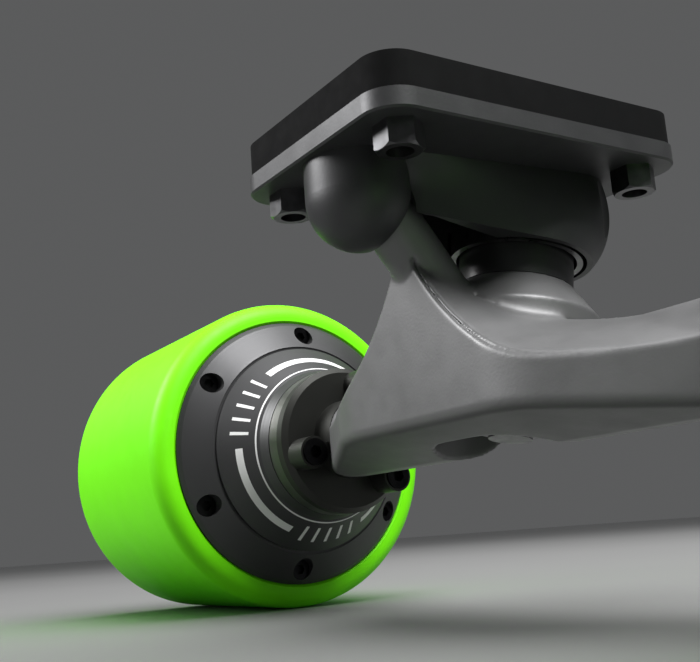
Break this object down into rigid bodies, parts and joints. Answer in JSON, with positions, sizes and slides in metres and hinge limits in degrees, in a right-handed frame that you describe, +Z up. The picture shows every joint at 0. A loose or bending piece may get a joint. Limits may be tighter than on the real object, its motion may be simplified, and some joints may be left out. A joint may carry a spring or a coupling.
{
  "type": "electric skateboard truck",
  "caption": "Powered skateboard truck: bolt-on base with riser pad, steering hanger on kingpin and rubber bushings, and a lime-green hub-motor wheel at each end of the axle",
  "frame": {"origin": "centre of the riser pad's top face, which is the centre of the deck bolt pattern", "axes": "+X along the wheel axle, +Y along the board from the pivot end to the kingpin end, +Z up into the deck"},
  "size_m": [0.332, 0.0946, 0.1055],
  "materials": {
    "riser": "moulded hard rubber, matt black",
    "casting": "die-cast aluminium, matt dark grey powder coat",
    "hanger": "cast aluminium, fine satin grey powder coat",
    "cup_polymer": "moulded acetal",
    "fastener": "black-zinc plated steel",
    "washer_steel": "pressed steel, dark plated",
    "bushing": "cast urethane, black",
    "flange": "hard-anodised aluminium, black",
    "black_screw": "black-oxide alloy steel",
    "shaft": "turned, satin",
    "lamination": "stacked electrical steel",
    "copper": "enamelled copper wire",
    "board": "green circuit board",
    "bearing": "ground bearing steel",
    "cover": "satin dark anodised, finely turned",
    "rotor": "turned steel flux ring",
    "magnet": "nickel-plated neodymium",
    "cap": "turned, dark satin",
    "tyre": "cast urethane, satin lime green"
  },
  "bodies": {
    "base": {"riser_pad": "riser", "base_plate": "casting", "pivot_cup": "cup_polymer", "mounting_nuts": "fastener", "kingpin": "fastener", "kingpin_nut": "fastener", "boardside_washer": "washer_steel", "boardside_bushing": "bushing", "roadside_bushing": "bushing", "roadside_washer": "washer_steel"},
    "hanger": {"hanger": "hanger", "left_motor_flange": "flange", "left_flange_screws": "black_screw", "left_motor_shaft": "shaft", "left_stator_bracket": "shaft", "left_stator_core": "lamination", "left_windings": "copper", "left_sensor_board": "board", "left_axle_nut": "fastener", "left_bearing_inner_races": "bearing", "right_motor_flange": "flange", "right_flange_screws": "black_screw", "right_motor_shaft": "shaft", "right_stator_bracket": "shaft", "right_stator_core": "lamination", "right_windings": "copper", "right_sensor_board": "board", "right_axle_nut": "fastener", "right_bearing_inner_races": "bearing"},
    "left_wheel": {"left_bearing_outer_races": "bearing", "left_bearing_balls": "bearing", "left_inner_cover": "cover", "left_inner_cover_screws": "black_screw", "left_rotor_can": "rotor", "left_magnets": "magnet", "left_outer_cover": "cover", "left_outer_cover_screws": "black_screw", "left_hub_cap": "cap", "left_tyre": "tyre"},
    "right_wheel": {"right_bearing_outer_races": "bearing", "right_bearing_balls": "bearing", "right_inner_cover": "cover", "right_inner_cover_screws": "black_screw", "right_rotor_can": "rotor", "right_magnets": "magnet", "right_outer_cover": "cover", "right_outer_cover_screws": "black_screw", "right_hub_cap": "cap", "right_tyre": "tyre"}
  },
  "joints": [
    {"name": "steer", "type": "hinge", "parent": "base", "child": "hanger", "pos_m": [0, 0.01143, -0.04131], "axis": [0, 0.8311, -0.5561], "range_deg": [-14, 14], "stiffness_Nm_per_rad": 60, "deforming": ["boardside_bushing", "roadside_bushing"]},
    {"name": "left_wheel_spin", "type": "hinge", "parent": "hanger", "child": "left_wheel", "pos_m": [-0.131, 0.009, -0.0605], "axis": [1, 0, 0], "continuous": true},
    {"name": "right_wheel_spin", "type": "hinge", "parent": "hanger", "child": "right_wheel", "pos_m": [0.131, 0.009, -0.0605], "axis": [1, 0, 0], "continuous": true}
  ]
}
